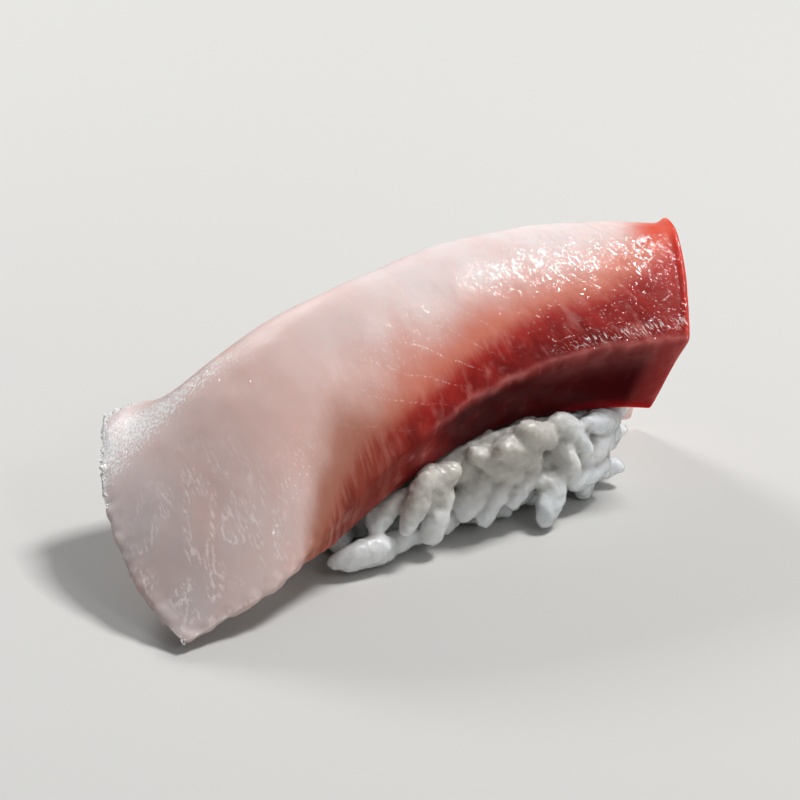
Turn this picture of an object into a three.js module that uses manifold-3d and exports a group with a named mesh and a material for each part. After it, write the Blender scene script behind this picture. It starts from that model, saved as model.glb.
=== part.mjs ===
// Yellowtail nigiri: a raw fish slice draped over a pressed block of rice.
// Units are millimetres and +Z is up. The origin is the middle of the bounding box, on the resting plane.
// +X runs along the slice from its thin tail corner to its thick red end, and -Y faces the cut side.

import * as THREE from 'three';
import { mergeVertices } from 'three/addons/utils/BufferGeometryUtils.js';
import Module from 'manifold-3d';

const wasm = await Module();
wasm.setup();

// ---------- driving dimensions, mm ----------

// The drape of the slice, as seven cross-sections from the thin left cut to the thick right cut.
// Each one lists where five long lines of the upper face pass, and the lower edge of the cut side:
// lower = lower edge of the cut side, ridge = its upper edge, shoulder = halfway up the near flank,
// crest = the highest line, back = halfway down the far flank, hem = the far long edge.
const SECTIONS = [
  { lower: [-31.2, -11.7, 0.2], ridge: [-32.0, -12.2, 1.2], shoulder: [-32.7, -5.0, 4.1],
    crest: [-31.2, 3.0, 7.5], back: [-28.6, 9.4, 10.5], hem: [-25.3, 14.6, 12.9] },
  { lower: [-19.8, -9.7, 2.1], ridge: [-20.2, -11.2, 4.4], shoulder: [-22.0, -6.1, 10.3],
    crest: [-22.0, 4.6, 15.0], back: [-20.6, 11.2, 15.6], hem: [-18.8, 15.9, 12.6] },
  { lower: [-11.6, -6.9, 4.3], ridge: [-11.7, -8.5, 8.3], shoulder: [-12.2, -5.0, 15.4],
    crest: [-11.5, 5.2, 21.2], back: [-10.5, 12.4, 18.0], hem: [-8.8, 15.3, 9.8] },
  { lower: [0.5, -4.6, 8.4], ridge: [0.3, -6.5, 13.6], shoulder: [0.5, -2.9, 19.4],
    crest: [0.8, 6.2, 24.9], back: [2.5, 13.2, 19.0], hem: [3.0, 14.9, 8.0] },
  { lower: [9.8, -3.6, 9.9], ridge: [9.8, -5.3, 15.9], shoulder: [10.5, -2.0, 21.3],
    crest: [11.5, 6.6, 26.3], back: [13.5, 13.4, 19.0], hem: [14.5, 14.2, 6.2] },
  { lower: [18.9, -4.0, 9.7], ridge: [20.3, -6.0, 17.0], shoulder: [21.5, -2.2, 21.8],
    crest: [23.5, 6.2, 26.0], back: [26.0, 12.2, 18.4], hem: [26.0, 12.2, 3.8] },
  { lower: [25.9, -7.0, 9.2], ridge: [29.8, -8.1, 16.7], shoulder: [33.3, -2.6, 22.0],
    crest: [36.2, 3.5, 24.3], back: [38.2, 8.2, 16.0], hem: [35.2, 8.4, 0.6] },
];
const UPPER_LINES = ['ridge', 'shoulder', 'crest', 'back', 'hem'];

const TAIL_THICKNESS = 1.8;     // slice, at its thin left cut
const BODY_THICKNESS = 5.2;     // slice, along its cut side from the middle to the right cut
const HEM_THINNING = 0.62;      // thickness at the far edge as a part of that at the cut side
const FULL_THICKNESS_AT = 0.5;  // part of the length where the slice has reached its full thickness
const RIGHT_CUT_LEAN = 0.05;    // how far the underside stops short of the right cut, as a part of the length

const CONTACT_GAP = 0.55;       // between the slice and the rice it lies on, and a little less on slopes
const GAP_DIRECTIONS = [[0, 0, -1], [0, -1, 0], [0, 1, 0], [-1, 0, 0], [1, 0, 0]];
const FLARE = 30;               // reach of the space cleared above the underside
const FLARE_NEAR_RISE = 0.3;    // how steeply its edge climbs away from the cut side
const FLARE_FAR_RISE = -0.8;    // the same away from the hem, where it falls
const FLARE_PAST_CUTS = 0.1;    // how far it runs past the two cuts, as a part of the reach

const RICE_CENTRE = [5.4, 2.6];
const RICE_HALF_LENGTH = 21.4;
const RICE_HALF_WIDTH = 9.6;
const RICE_HEIGHT = 27.0;       // of the free dome, before the slice presses it into shape
const RICE_BELLY_HEIGHT = 5.0;  // where the block is widest
const RICE_FOOT = 0.93;         // width at the resting plane as a part of the widest
const RICE_TURN = -6;           // degrees that the block is turned in plan
const RICE_SQUARENESS = 2.5;    // 2 gives an ellipse in plan, more gives a rounder rectangle
const RICE_LUMPS = 0.45;        // depth of the uneven outline that the grains give

// ---------- how finely the faces are cut ----------

const SLICE_LENGTH_STEPS = 42;
const SLICE_WIDTH_STEPS = 18;
const RICE_RING_STEPS = 60;
const RICE_LEVELS = 16;

// ---------- small helpers ----------

const smooth = (x) => THREE.MathUtils.smoothstep(x, 0, 1);
const mix = THREE.MathUtils.lerp;

// A smooth curve through points; getPoint takes the part of the way through the list.
const through = (points) => new THREE.CatmullRomCurve3(points, false, 'catmullrom', 0.5);

// A closed mesh from vertices and triangles, with shared vertices merged.
function closedGeometry(vertices, triangles) {
  const geometry = new THREE.BufferGeometry();
  geometry.setAttribute('position', new THREE.Float32BufferAttribute(vertices.flatMap((v) => v.toArray()), 3));
  geometry.setIndex(triangles.flat());
  return mergeVertices(geometry, 1e-4);
}

function toSolid(geometry) {
  return new wasm.Manifold(new wasm.Mesh({
    numProp: 3,
    vertProperties: new Float32Array(geometry.getAttribute('position').array),
    triVerts: new Uint32Array(geometry.index.array),
  }));
}

function fromSolid(solid) {
  const mesh = solid.getMesh();
  const geometry = new THREE.BufferGeometry();
  geometry.setAttribute('position', new THREE.Float32BufferAttribute(mesh.vertProperties, mesh.numProp));
  geometry.setIndex(Array.from(mesh.triVerts));
  return geometry;
}

// ---------- the slice ----------

const longLines = {};
for (const name of ['lower', ...UPPER_LINES]) {
  longLines[name] = through(SECTIONS.map((section) => new THREE.Vector3(...section[name])));
}

// A point of the upper face: s runs from the left cut to the right cut, t from the ridge to the hem.
function upperPoint(s, t) {
  const across = through(UPPER_LINES.map((name) => longLines[name].getPoint(s)));
  return across.getPoint(t);
}

// The outward direction of the upper face.
function upperNormal(s, t) {
  const step = 1e-3;
  const s0 = Math.max(s - step, 0);
  const s1 = Math.min(s + step, 1);
  const t0 = Math.max(t - step, 0);
  const t1 = Math.min(t + step, 1);
  const along = upperPoint(s1, t).sub(upperPoint(s0, t));
  const across = upperPoint(s, t1).sub(upperPoint(s, t0));
  return along.cross(across).normalize();
}

function thickness(s, t) {
  const atCutSide = mix(TAIL_THICKNESS, BODY_THICKNESS, smooth(s / FULL_THICKNESS_AT));
  return atCutSide * mix(1, HEM_THINNING, smooth(t));
}

// The underside at s is a curve from the lower edge of the cut side to below the hem.
function undersideCurve(s) {
  const inner = s * (1 - RIGHT_CUT_LEAN);
  const points = [longLines.lower.getPoint(s)];
  for (let line = 1; line < UPPER_LINES.length; line += 1) {
    const t = line / (UPPER_LINES.length - 1);
    points.push(upperPoint(inner, t).addScaledVector(upperNormal(inner, t), -thickness(inner, t)));
  }
  return through(points);
}

// The slice as one closed loft. "flare" spreads the upper face up and outwards, which makes the shape
// of all the space above the underside.
function sliceGeometry(flare) {
  const ringSize = 2 * (SLICE_WIDTH_STEPS + 1);
  const vertices = [];
  const triangles = [];
  for (let i = 0; i <= SLICE_LENGTH_STEPS; i += 1) {
    const s = i / SLICE_LENGTH_STEPS;
    const underside = undersideCurve(s);
    const atCut = Math.floor(s) - Math.floor(1 - s);
    const pastCut = new THREE.Vector3(atCut * flare * FLARE_PAST_CUTS, 0, 0);
    for (let j = 0; j <= SLICE_WIDTH_STEPS; j += 1) {
      const t = j / SLICE_WIDTH_STEPS;
      const rise = mix(FLARE_NEAR_RISE, FLARE_FAR_RISE, t) + Math.sin(Math.PI * t);
      const outward = new THREE.Vector3(0, -Math.cos(Math.PI * t), rise);
      vertices.push(upperPoint(s, t).addScaledVector(outward, flare).add(pastCut));
    }
    for (let j = SLICE_WIDTH_STEPS; j >= 0; j -= 1) {
      vertices.push(underside.getPoint(j / SLICE_WIDTH_STEPS).add(pastCut));
    }
  }
  const quad = (a, b, c, d) => triangles.push([a, b, c], [a, c, d]);
  for (let i = 0; i < SLICE_LENGTH_STEPS; i += 1) {
    for (let j = 0; j < ringSize; j += 1) {
      const next = (j + 1) % ringSize;
      quad(i * ringSize + j, (i + 1) * ringSize + j, (i + 1) * ringSize + next, i * ringSize + next);
    }
  }
  const lastRing = SLICE_LENGTH_STEPS * ringSize;
  for (let j = 0; j < SLICE_WIDTH_STEPS; j += 1) {
    const under = ringSize - 1 - j;
    quad(j, j + 1, under - 1, under);
    quad(lastRing + j, lastRing + under, lastRing + under - 1, lastRing + j + 1);
  }
  return closedGeometry(vertices, triangles);
}

// ---------- the rice ----------

// Uneven factor on the outline, from a few waves that don't repeat round the block.
function lumps(angle, level) {
  const waves = Math.sin(7 * angle + 1.3 * level) + Math.sin(11 * angle - 2.1 * level + 0.7)
    + 0.7 * Math.sin(17 * angle + 3.7 * level + 2.0);
  return (RICE_LUMPS * waves) / 2;
}

// How wide the free block is at a height, as a part of its widest.
function riceProfile(height) {
  if (height < RICE_BELLY_HEIGHT) {
    return mix(RICE_FOOT, 1, Math.sin((Math.PI / 2) * (height / RICE_BELLY_HEIGHT)));
  }
  const rise = (height - RICE_BELLY_HEIGHT) / (RICE_HEIGHT - RICE_BELLY_HEIGHT);
  return Math.sqrt(Math.max(1 - rise ** 2.6, 0));
}

function freeRiceGeometry() {
  const turn = THREE.MathUtils.degToRad(RICE_TURN);
  const vertices = [];
  const triangles = [];
  const place = (x, y, z) => new THREE.Vector3(
    RICE_CENTRE[0] + x * Math.cos(turn) - y * Math.sin(turn),
    RICE_CENTRE[1] + x * Math.sin(turn) + y * Math.cos(turn),
    z,
  );
  for (let k = 0; k < RICE_LEVELS; k += 1) {
    const height = RICE_HEIGHT * Math.sin((Math.PI / 2) * (k / RICE_LEVELS));
    const width = riceProfile(height);
    for (let i = 0; i < RICE_RING_STEPS; i += 1) {
      const angle = (2 * Math.PI * i) / RICE_RING_STEPS;
      const c = Math.abs(Math.cos(angle)) ** (2 / RICE_SQUARENESS) * Math.sign(Math.cos(angle));
      const s = Math.abs(Math.sin(angle)) ** (2 / RICE_SQUARENESS) * Math.sign(Math.sin(angle));
      const uneven = lumps(angle, k);
      vertices.push(place(
        (RICE_HALF_LENGTH * c + uneven * Math.cos(angle)) * width,
        (RICE_HALF_WIDTH * s + uneven * Math.sin(angle)) * width,
        height,
      ));
    }
  }
  for (let k = 0; k + 1 < RICE_LEVELS; k += 1) {
    for (let i = 0; i < RICE_RING_STEPS; i += 1) {
      const next = (i + 1) % RICE_RING_STEPS;
      const a = k * RICE_RING_STEPS + i;
      const b = k * RICE_RING_STEPS + next;
      const c = a + RICE_RING_STEPS;
      const d = b + RICE_RING_STEPS;
      triangles.push([a, b, d], [a, d, c]);
    }
  }
  const foot = vertices.push(place(0, 0, 0)) - 1;
  const top = vertices.push(place(0, 0, RICE_HEIGHT)) - 1;
  const lastRing = (RICE_LEVELS - 1) * RICE_RING_STEPS;
  for (let i = 0; i < RICE_RING_STEPS; i += 1) {
    const next = (i + 1) % RICE_RING_STEPS;
    triangles.push([foot, next, i], [top, lastRing + i, lastRing + next]);
  }
  return closedGeometry(vertices, triangles);
}

// The slice presses the rice: whatever lies above the slice's underside is cut away. The cut is
// repeated a little lower and to each side, which leaves the contact gap.
function riceGeometry() {
  const above = toSolid(sliceGeometry(FLARE));
  let pressed = toSolid(freeRiceGeometry());
  for (const direction of GAP_DIRECTIONS) {
    pressed = pressed.subtract(above.translate(direction.map((part) => part * CONTACT_GAP)));
  }
  return fromSolid(pressed);
}

// ---------- the whole ----------

const fishFlesh = new THREE.MeshStandardMaterial({ color: 0xd8a8a0, roughness: 0.28, metalness: 0 });
const cookedRice = new THREE.MeshStandardMaterial({ color: 0xe6e4dc, roughness: 0.35, metalness: 0 });

const slice = new THREE.Mesh(sliceGeometry(0), fishFlesh);
slice.name = 'fish_slice';

const rice = new THREE.Mesh(riceGeometry(), cookedRice);
rice.name = 'rice_block';

const nigiri = new THREE.Group();
nigiri.add(slice, rice);

const extent = new THREE.Box3().setFromObject(nigiri);
const middle = extent.getCenter(new THREE.Vector3());
nigiri.position.set(-middle.x, -middle.y, -extent.min.z);
nigiri.updateMatrixWorld(true);

export default nigiri;
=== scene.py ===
"""Yellowtail nigiri: a wet slice of raw fish draped over a hand-pressed heap of rice grains.

Shapes are worked out in millimetres in a drawing frame and brought to the row frame in metres at the
end. In both frames +X runs from the thin pale tail of the slice to its thick red end, -Y faces the skin
side of the slice, where the dark muscle shows, and +Z is up.
"""

import logging
import math
from dataclasses import dataclass, field, replace
from enum import Enum
from typing import Any, Sequence

import bmesh
import bpy
import numpy as np
from mathutils import Euler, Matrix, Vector, noise
from mathutils.bvhtree import BVHTree


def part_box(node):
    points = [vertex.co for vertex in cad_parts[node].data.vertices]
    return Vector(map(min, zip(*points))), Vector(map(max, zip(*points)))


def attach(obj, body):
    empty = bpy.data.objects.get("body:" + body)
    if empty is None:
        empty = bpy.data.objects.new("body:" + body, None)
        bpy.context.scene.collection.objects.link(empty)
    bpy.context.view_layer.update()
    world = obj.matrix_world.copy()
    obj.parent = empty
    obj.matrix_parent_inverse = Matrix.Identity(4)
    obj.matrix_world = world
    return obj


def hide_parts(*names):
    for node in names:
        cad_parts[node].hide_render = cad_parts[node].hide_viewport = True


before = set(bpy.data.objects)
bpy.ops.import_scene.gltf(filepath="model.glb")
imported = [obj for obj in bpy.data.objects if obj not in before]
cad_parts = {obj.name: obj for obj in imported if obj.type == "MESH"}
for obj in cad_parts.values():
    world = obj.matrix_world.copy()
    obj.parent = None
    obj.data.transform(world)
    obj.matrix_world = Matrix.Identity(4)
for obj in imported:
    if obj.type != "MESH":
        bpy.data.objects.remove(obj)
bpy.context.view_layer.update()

BODY = "root"
MM = 0.001

log = logging.getLogger("nigiri")

Point = tuple[float, float, float]
Span = tuple[float, float]
Array = np.ndarray
Socket = bpy.types.NodeSocket
Inputs = dict[Any, Any] | Sequence[Any]


# ---------- curves and fields ----------


def spline_weights(count: int, where: Array) -> Array:
    """Weights that blend evenly spaced knots into a natural cubic, which has no kinks in its curvature.

    Args:
        count: how many knots the curve passes through.
        where: places along it, from 0 at the first knot to 1 at the last.

    Returns:
        One row of knot weights for each place.
    """
    system = np.eye(count)
    load = np.zeros((count, count))
    for k in range(1, count - 1):
        system[k, k - 1:k + 2] = (1, 4, 1)
        load[k, k - 1:k + 2] = (6, -12, 6)
    curvature = np.linalg.solve(system, load)
    at = np.clip(where, 0, 1) * (count - 1)
    k = np.minimum(at.astype(int), count - 2)
    f = (at - k)[:, None]
    knots = np.eye(count)
    bend = ((1 - f) ** 3 - (1 - f)) * curvature[k] + (f ** 3 - f) * curvature[k + 1]
    return (1 - f) * knots[k] + f * knots[k + 1] + bend / 6


def through(knots: Sequence[tuple[float, float]], where: Array) -> Array:
    """Reads a soft curve drawn through (place, value) knots at any places.

    Args:
        knots: the places, rising, and the values there.
        where: where to read the curve.

    Returns:
        The values, of the same shape as where.
    """
    places, values = np.array(knots).T
    low = np.clip(np.searchsorted(places, where) - 1, 0, len(places) - 2)
    f = soft_step((where - places[low]) / (places[low + 1] - places[low]))
    straight = np.interp(where, places, values)
    return (straight + values[low] + (values[low + 1] - values[low]) * f) / 2


def soft_step(x: Array, start: float = 0.0, end: float = 1.0) -> Array:
    """Eases from 0 at start to 1 at end."""
    x = np.clip((x - start) / (end - start), 0, 1)
    return x * x * (3 - 2 * x)


def hump(x: Array, centre: float, half_width: float) -> Array:
    """A round hump, 1 at the centre and fading to nothing past about twice its half width."""
    return np.exp(-((x - centre) / half_width) ** 2)


def unevenness(points: Array, lump: float, seed: float) -> Array:
    """Smooth random values between about -1 and 1 that vary over a given distance.

    Args:
        points: the places, one row each.
        lump: the size of one lump, in the units of the places.
        seed: shifts the pattern, so that each use has its own.

    Returns:
        One value for each place.
    """
    shift = Vector((seed * 7.31, seed * -3.17, seed * 5.73))
    return np.array([noise.noise(Vector(p) / lump + shift) for p in points])


def unit(vectors: Array) -> Array:
    """The same directions at length 1."""
    return vectors / np.maximum(np.linalg.norm(vectors, axis=-1, keepdims=True), 1e-12)


def relax(points: Array, quads: Array, rounds: int, share: float) -> Array:
    """Wears edges round by moving each vertex towards the mean of its neighbours.

    Args:
        points: one row for each vertex.
        quads: one row of four vertex numbers for each face.
        rounds: how many times to do it.
        share: how far a vertex goes towards that mean each time.

    Returns:
        The new points.
    """
    a, b = quads.ravel(), np.roll(quads, -1, axis=1).ravel()
    a, b = np.concatenate([a, b]), np.concatenate([b, a])
    count = np.bincount(a, minlength=len(points))[:, None]
    for _ in range(rounds):
        sums = [np.bincount(a, weights=points[b, k], minlength=len(points)) for k in range(3)]
        total = np.stack(sums, axis=1)
        points = points * (1 - share) + total / count * share
    return points


def outer_shell(points: Array, faces: Array) -> tuple[Array, Array]:
    """Keeps the largest connected skin of a mesh and drops the small hollows inside it.

    Args:
        points: one row for each vertex.
        faces: one row of vertex numbers for each face.

    Returns:
        The points and faces of that skin.
    """
    label = np.arange(len(points))
    a, b = faces.ravel(), np.roll(faces, -1, axis=1).ravel()
    while True:
        low = np.minimum(label[a], label[b])
        before = label.copy()
        np.minimum.at(label, a, low)
        np.minimum.at(label, b, low)
        label = label[label]
        if (label == before).all():
            break
    kept = label == np.bincount(label).argmax()
    number = np.cumsum(kept) - 1
    return points[kept], number[faces[kept[faces[:, 0]]]]


# ---------- meshes and nodes ----------


def make_mesh(name: str, points: Array, faces: Array) -> bpy.types.Object:
    """Makes a smooth-shaded mesh object from points in row-frame millimetres.

    Args:
        name: the name of the piece.
        points: one row for each vertex.
        faces: one row of vertex numbers for each face, all with the same number of corners.

    Returns:
        The object, linked to the scene.
    """
    mesh = bpy.data.meshes.new(name)
    corners = faces.shape[1]
    mesh.vertices.add(len(points))
    mesh.vertices.foreach_set("co", (points * MM).astype(np.float32).ravel())
    mesh.loops.add(faces.size)
    mesh.loops.foreach_set("vertex_index", faces.astype(np.int32).ravel())
    mesh.polygons.add(len(faces))
    mesh.polygons.foreach_set("loop_start", np.arange(0, faces.size, corners, dtype=np.int32))
    mesh.update(calc_edges=True)
    mesh.validate()
    mesh.polygons.foreach_set("use_smooth", np.ones(len(mesh.polygons), dtype=bool))
    piece = bpy.data.objects.new(name, mesh)
    bpy.context.scene.collection.objects.link(piece)
    return piece


def store(piece: bpy.types.Object, name: str, values: Array) -> None:
    """Keeps a number or a vector for each vertex, for the finish to read.

    Args:
        piece: the piece whose vertices get the values.
        name: the attribute's name.
        values: one number or one row of three numbers for each vertex.
    """
    vector = values.ndim == 2
    made = piece.data.attributes.new(name, "FLOAT_VECTOR" if vector else "FLOAT", "POINT")
    made.data.foreach_set("vector" if vector else "value", values.astype(np.float32).ravel())


def linear(colour: str) -> tuple[float, float, float, float]:
    """Turns an sRGB hex colour such as '#e8c0b0' into the linear colour that shaders take."""
    parts = [int(colour[k:k + 2], 16) / 255 for k in (1, 3, 5)]
    return (*[c / 12.92 if c <= 0.04045 else ((c + 0.055) / 1.055) ** 2.4 for c in parts], 1.0)


@dataclass(frozen=True)
class Cloud:
    """A cloudy pattern at a real size.

    size is that of its lumps each way, mm; in flesh that is across the fibres, along them and in depth.
    detail and roughness say how many finer layers it has and how strong they are. With a span it goes
    softly through reach while the pattern's own value goes through that span.
    """

    size: Point
    detail: float = 2.0
    roughness: float = 0.5
    span: Span | None = None
    reach: Span = (0.0, 1.0)

    def over(self, start: float, end: float, low: float = 0.0, high: float = 1.0) -> "Cloud":
        """The same pattern, going from low to high while its own value goes from start to end."""
        return replace(self, span=(start, end), reach=(low, high))


@dataclass
class Dye:
    """The node work that every finish shares: masks, patterns, colours laid over colours, and relief.

    place is the mesh attribute that says where in the food a vertex lies, mm.
    """

    name: str
    place: str = ""
    material: bpy.types.Material = field(init=False)

    def __post_init__(self) -> None:
        """Starts a material that uses nodes."""
        self.material = bpy.data.materials.new(self.name)
        self.material.use_nodes = True

    def add(self, kind: str, inputs: Inputs, out: int | str = 0, **settings: Any) -> Socket:
        """Adds a node with its settings and links.

        Args:
            kind: the node's type name without its 'ShaderNode' start.
            inputs: a socket to link from, a hex colour or a constant for each input, in order or by name.
            out: which output is wanted.
            **settings: the node's own properties, such as operation='MULTIPLY'.

        Returns:
            That output.
        """
        made = self.material.node_tree.nodes.new("ShaderNode" + kind)
        for key, value in settings.items():
            setattr(made, key, value)
        self.fill(made, inputs)
        return made.outputs[out]

    def fill(self, node: bpy.types.Node, inputs: Inputs) -> None:
        """Links or sets a node's inputs.

        Args:
            node: the node.
            inputs: a socket to link from, a hex colour or a constant for each input, in order or by name.
        """
        for key, value in inputs.items() if isinstance(inputs, dict) else enumerate(inputs):
            if isinstance(value, bpy.types.NodeSocket):
                self.material.node_tree.links.new(value, node.inputs[key])
            else:
                node.inputs[key].default_value = linear(value) if isinstance(value, str) else value

    def pattern(self, cloud: Cloud, place: Socket | None = None) -> Socket:
        """Draws a cloudy pattern.

        Args:
            cloud: the pattern.
            place: where the vertices lie, if it isn't the finish's own place.

        Returns:
            Its value.
        """
        if place is None:
            place = self.add("Attribute", (), "Vector", attribute_name=self.place)
        lumps_per_mm = tuple(1 / size for size in cloud.size)
        lumps = self.add("VectorMath", (place, lumps_per_mm), operation="MULTIPLY")
        sizes = {"Vector": lumps, "Scale": 1.0, "Detail": cloud.detail, "Roughness": cloud.roughness}
        value = self.add("TexNoise", sizes)
        if cloud.span is None:
            return value
        return self.add("MapRange", (value, *cloud.span, *cloud.reach), interpolation_type="SMOOTHSTEP")

    def share(self, *shares: Any) -> Socket:
        """How much of something shows, where several things limit it.

        Args:
            *shares: each the name of a mask on the mesh, a Cloud, a socket or a number.

        Returns:
            All of them multiplied.
        """
        total = None
        for share in shares:
            if isinstance(share, str):
                share = self.add("Attribute", (), "Fac", attribute_name=share)
            elif isinstance(share, Cloud):
                share = self.pattern(share)
            total = share if total is None else self.add("Math", (total, share), operation="MULTIPLY")
        return total

    def lay(self, below: Any, colour: Any, *shares: Any) -> Socket:
        """Lays a colour over what is below it, as far as the shares let it show."""
        return self.add("Mix", {0: self.share(*shares), 6: below, 7: colour}, 2, data_type="RGBA")

    def relief(self, depth: float, below: Socket | None, *shares: Any) -> Socket:
        """Gives the surface small relief of a real depth, mm, on top of the relief below it."""
        inputs = {"Height": self.share(*shares), "Distance": depth * MM, "Strength": 1.0}
        if below is not None:
            inputs["Normal"] = below
        return self.add("Bump", inputs)

    def finish(self, **values: Any) -> bpy.types.Material:
        """Sets or links the shader's sockets, whose names have underscores for spaces here."""
        inputs = {key.replace("_", " "): value for key, value in values.items()}
        self.fill(self.material.node_tree.nodes["Principled BSDF"], inputs)
        return self.material


# ---------- finishes ----------


class Face(Enum):
    """Which face of the slice a finish is for."""

    CUT = "cut"
    SKIN_SIDE = "skin_side"


@dataclass(frozen=True)
class RawYellowtail:
    """Raw yellowtail, cut with a long knife: pale fatty flesh and the dark muscle along the skin side.

    The pale flesh is smooth and cloudy, light soaks a millimetre or so into it, and only tiny drops on it
    catch the light; short white ticks painted on it are more glints. The dark muscle is wetter and shines
    in short broken strokes that run with its fibres.
    The thin cut end is frosty with fine grains of ice. The face that lay under the skin is nearly
    black-red, partly as painted shade, and has little shine; the pinkish streak along its ridge is partly
    a painted highlight.

    The sizes of its patterns are mm across the fibres, along them and in depth. The ticks and the comb,
    which are painted glints, and the fat strokes are finer in the fish and are drawn as coarse as they
    need to be to show.
    """

    face: Face
    pale: str = "#e9dcda"
    flesh: str = "#e8c8c0"
    tail: str = "#d4c6c4"
    tip: str = "#bdb3b1"
    blush: str = "#dcaea4"
    # The fat colour is also the white of the painted glints: the ticks and the comb.
    fat: str = "#f9efec"
    salmon: str = "#d6806b"
    brown: str = "#b87c69"
    red: str = "#ae3029"
    dark: str = "#6c1417"
    deep_and_shade: str = "#4a0c10"
    dull_shaded_red: str = "#a24f40"
    dull_shaded_stripe: str = "#c98a7a"
    gristle: str = "#dd958a"
    film_and_sheen: str = "#cc7672"
    rim: str = "#a81318"
    lip: str = "#dc3d26"
    frost: str = "#f6f1f0"
    sparkle: str = "#ffffff"
    fibres: Cloud = Cloud((0.5, 3.4, 1.0), 3.0, 0.6)
    clouds: Cloud = Cloud((6.25, 10.0, 5.0), 3.0, 0.55)
    sheen: Cloud = Cloud((2.0, 3.333, 2.0)).over(0.35, 0.65, 0.52, 0.4)
    wet_patches: Cloud = Cloud((1.111, 2.0, 1.25), 2.0, 0.6).over(0.38, 0.6, 0.35, 1.0)
    wet_strokes: Cloud = Cloud((0.58, 1.4, 1.0), 1.0)
    pebbles: Cloud = Cloud((2.381, 1.667, 1.667), 1.0)
    drops: Cloud = Cloud((0.55, 0.55, 0.55), 1.0).over(0.5, 0.8)
    specks: Cloud = Cloud((0.4, 0.5, 0.4), 1.0)
    painted_glints: Cloud = Cloud((0.2778, 0.5882, 1.0)).over(0.6, 0.66, 0.0, 0.75)
    fat_rings: Cloud = Cloud((5.882, 8.333, 5.0), 1.0, 0.35)
    fat_strokes: Cloud = Cloud((0.3125, 1.0, 1.0), 2.0, 0.55).over(0.47, 0.63)
    stripes: Cloud = Cloud((0.6667, 10.0, 12.5)).over(0.46, 0.66, 0.0, 0.5)
    veins: Cloud = Cloud((2.222, 7.692, 3.333), 3.0, 0.55).over(0.36, 0.64, 0.6, 0.0)
    threads: Cloud = Cloud((1.25, 4.545, 1.667)).over(0.5, 0.74, 0.0, 0.36)
    blotches: Cloud = Cloud((2.5, 2.0, 1.429), 4.0, 0.6)
    painted_comb: Cloud = Cloud((0.2174, 1.25, 1.0), 1.0).over(0.54, 0.62, 0.0, 0.75)
    painted_frost_glints: Cloud = Cloud((0.4348, 0.5, 0.4348), 2.0, 0.6)
    line_drift: Cloud = Cloud((3.333, 3.333, 3.333), 1.0)
    line_dots: Cloud = Cloud((1.0, 0.625, 1.0), 3.0, 0.7).over(0.46, 0.6)
    line_spacing: float = 2.75
    line_width: float = 0.13
    line_wander: float = 0.9
    edge_wander: float = 1.7
    salmon_fray: float = 0.3
    red_fray: float = 0.8
    ring_turns: float = 32.0

    def build(self) -> bpy.types.Material:
        """Makes the material.

        Returns:
            The finish for one face of the slice, which reads the masks that FishSlice stores.
        """
        dye = Dye("raw_yellowtail_" + self.face.value, "grain")
        colour = self._flesh(dye)
        colour = self._dark_muscle(dye, colour)
        colour = self._skin_side(dye, colour)
        colour = self._fresh_cuts(dye, colour)
        cut = self.face is Face.CUT
        return dye.finish(
            Base_Color=colour,
            Roughness=dye.pattern(self.sheen),
            Normal=dye.relief(0.07, None, self.pebbles),
            IOR=1.37,
            Specular_IOR_Level=0.2 if cut else 0.14,
            Subsurface_Weight=0.85,
            Subsurface_Radius=dye.lay((1.0, 0.5, 0.42, 1.0), (1.0, 0.9, 0.86, 1.0), "tail"),
            Subsurface_Scale=1.2 * MM,
            Coat_Weight=dye.share("wet", self.wet_patches) if cut else 0.12,
            Coat_Roughness=0.06,
            Coat_IOR=1.42,
            Coat_Normal=self._wet_relief(dye) if cut else dye.relief(0.2, None, self.clouds),
        )

    def _flesh(self, dye: Dye) -> Socket:
        """The pale flesh: whitest on the crest, partly as painted sheen, pinker on the flank, greyer and
        marbled at the tail.
        """
        # Painted sheen in part: the crest is laid whitest.
        colour = dye.lay(self.flesh, self.pale, "pale")
        colour = dye.lay(colour, self.tail, "tail")
        colour = dye.lay(colour, self.tip, "tip")
        colour = dye.lay(colour, self.blush, self.clouds.over(0.4, 0.7, 0.0, 0.28))
        # Painted glints: short white ticks on the flank, by the tail and near the red end.
        colour = dye.lay(colour, self.fat, self.painted_glints, "painted_glints")
        return dye.lay(colour, self.fat, self._marbling(dye), 0.5)

    def _marbling(self, dye: Dye) -> Socket:
        """Short strokes of fat in the thin tail, gathered in soft nested arcs, 0 to 1."""
        rings = dye.add("Math", (dye.share(self.fat_rings, self.ring_turns),), operation="SINE")
        rings = dye.add("MapRange", (rings, -0.5, 0.9), interpolation_type="SMOOTHSTEP")
        return dye.share(rings, self.fat_strokes, "marble")

    def _zone(self, dye: Dye, mask: str, fray: float) -> Socket:
        """How deep in a colour zone a place lies, where the edge wanders and frays along the fibres.

        Args:
            dye: the finish in the making.
            mask: the zone's mask, 0 at its edge and rising inwards.
            fray: how far the fibres pull the edge to and fro.

        Returns:
            That depth, with 0 at the frayed edge.
        """
        wandering = dye.add("Math", (dye.pattern(self.clouds), self.edge_wander, dye.share(mask)),
                            operation="MULTIPLY_ADD")
        frayed = dye.add("Math", (dye.pattern(self.fibres), fray, wandering), operation="MULTIPLY_ADD")
        return dye.add("Math", (frayed, (self.edge_wander + fray) / 2), operation="SUBTRACT")

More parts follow.
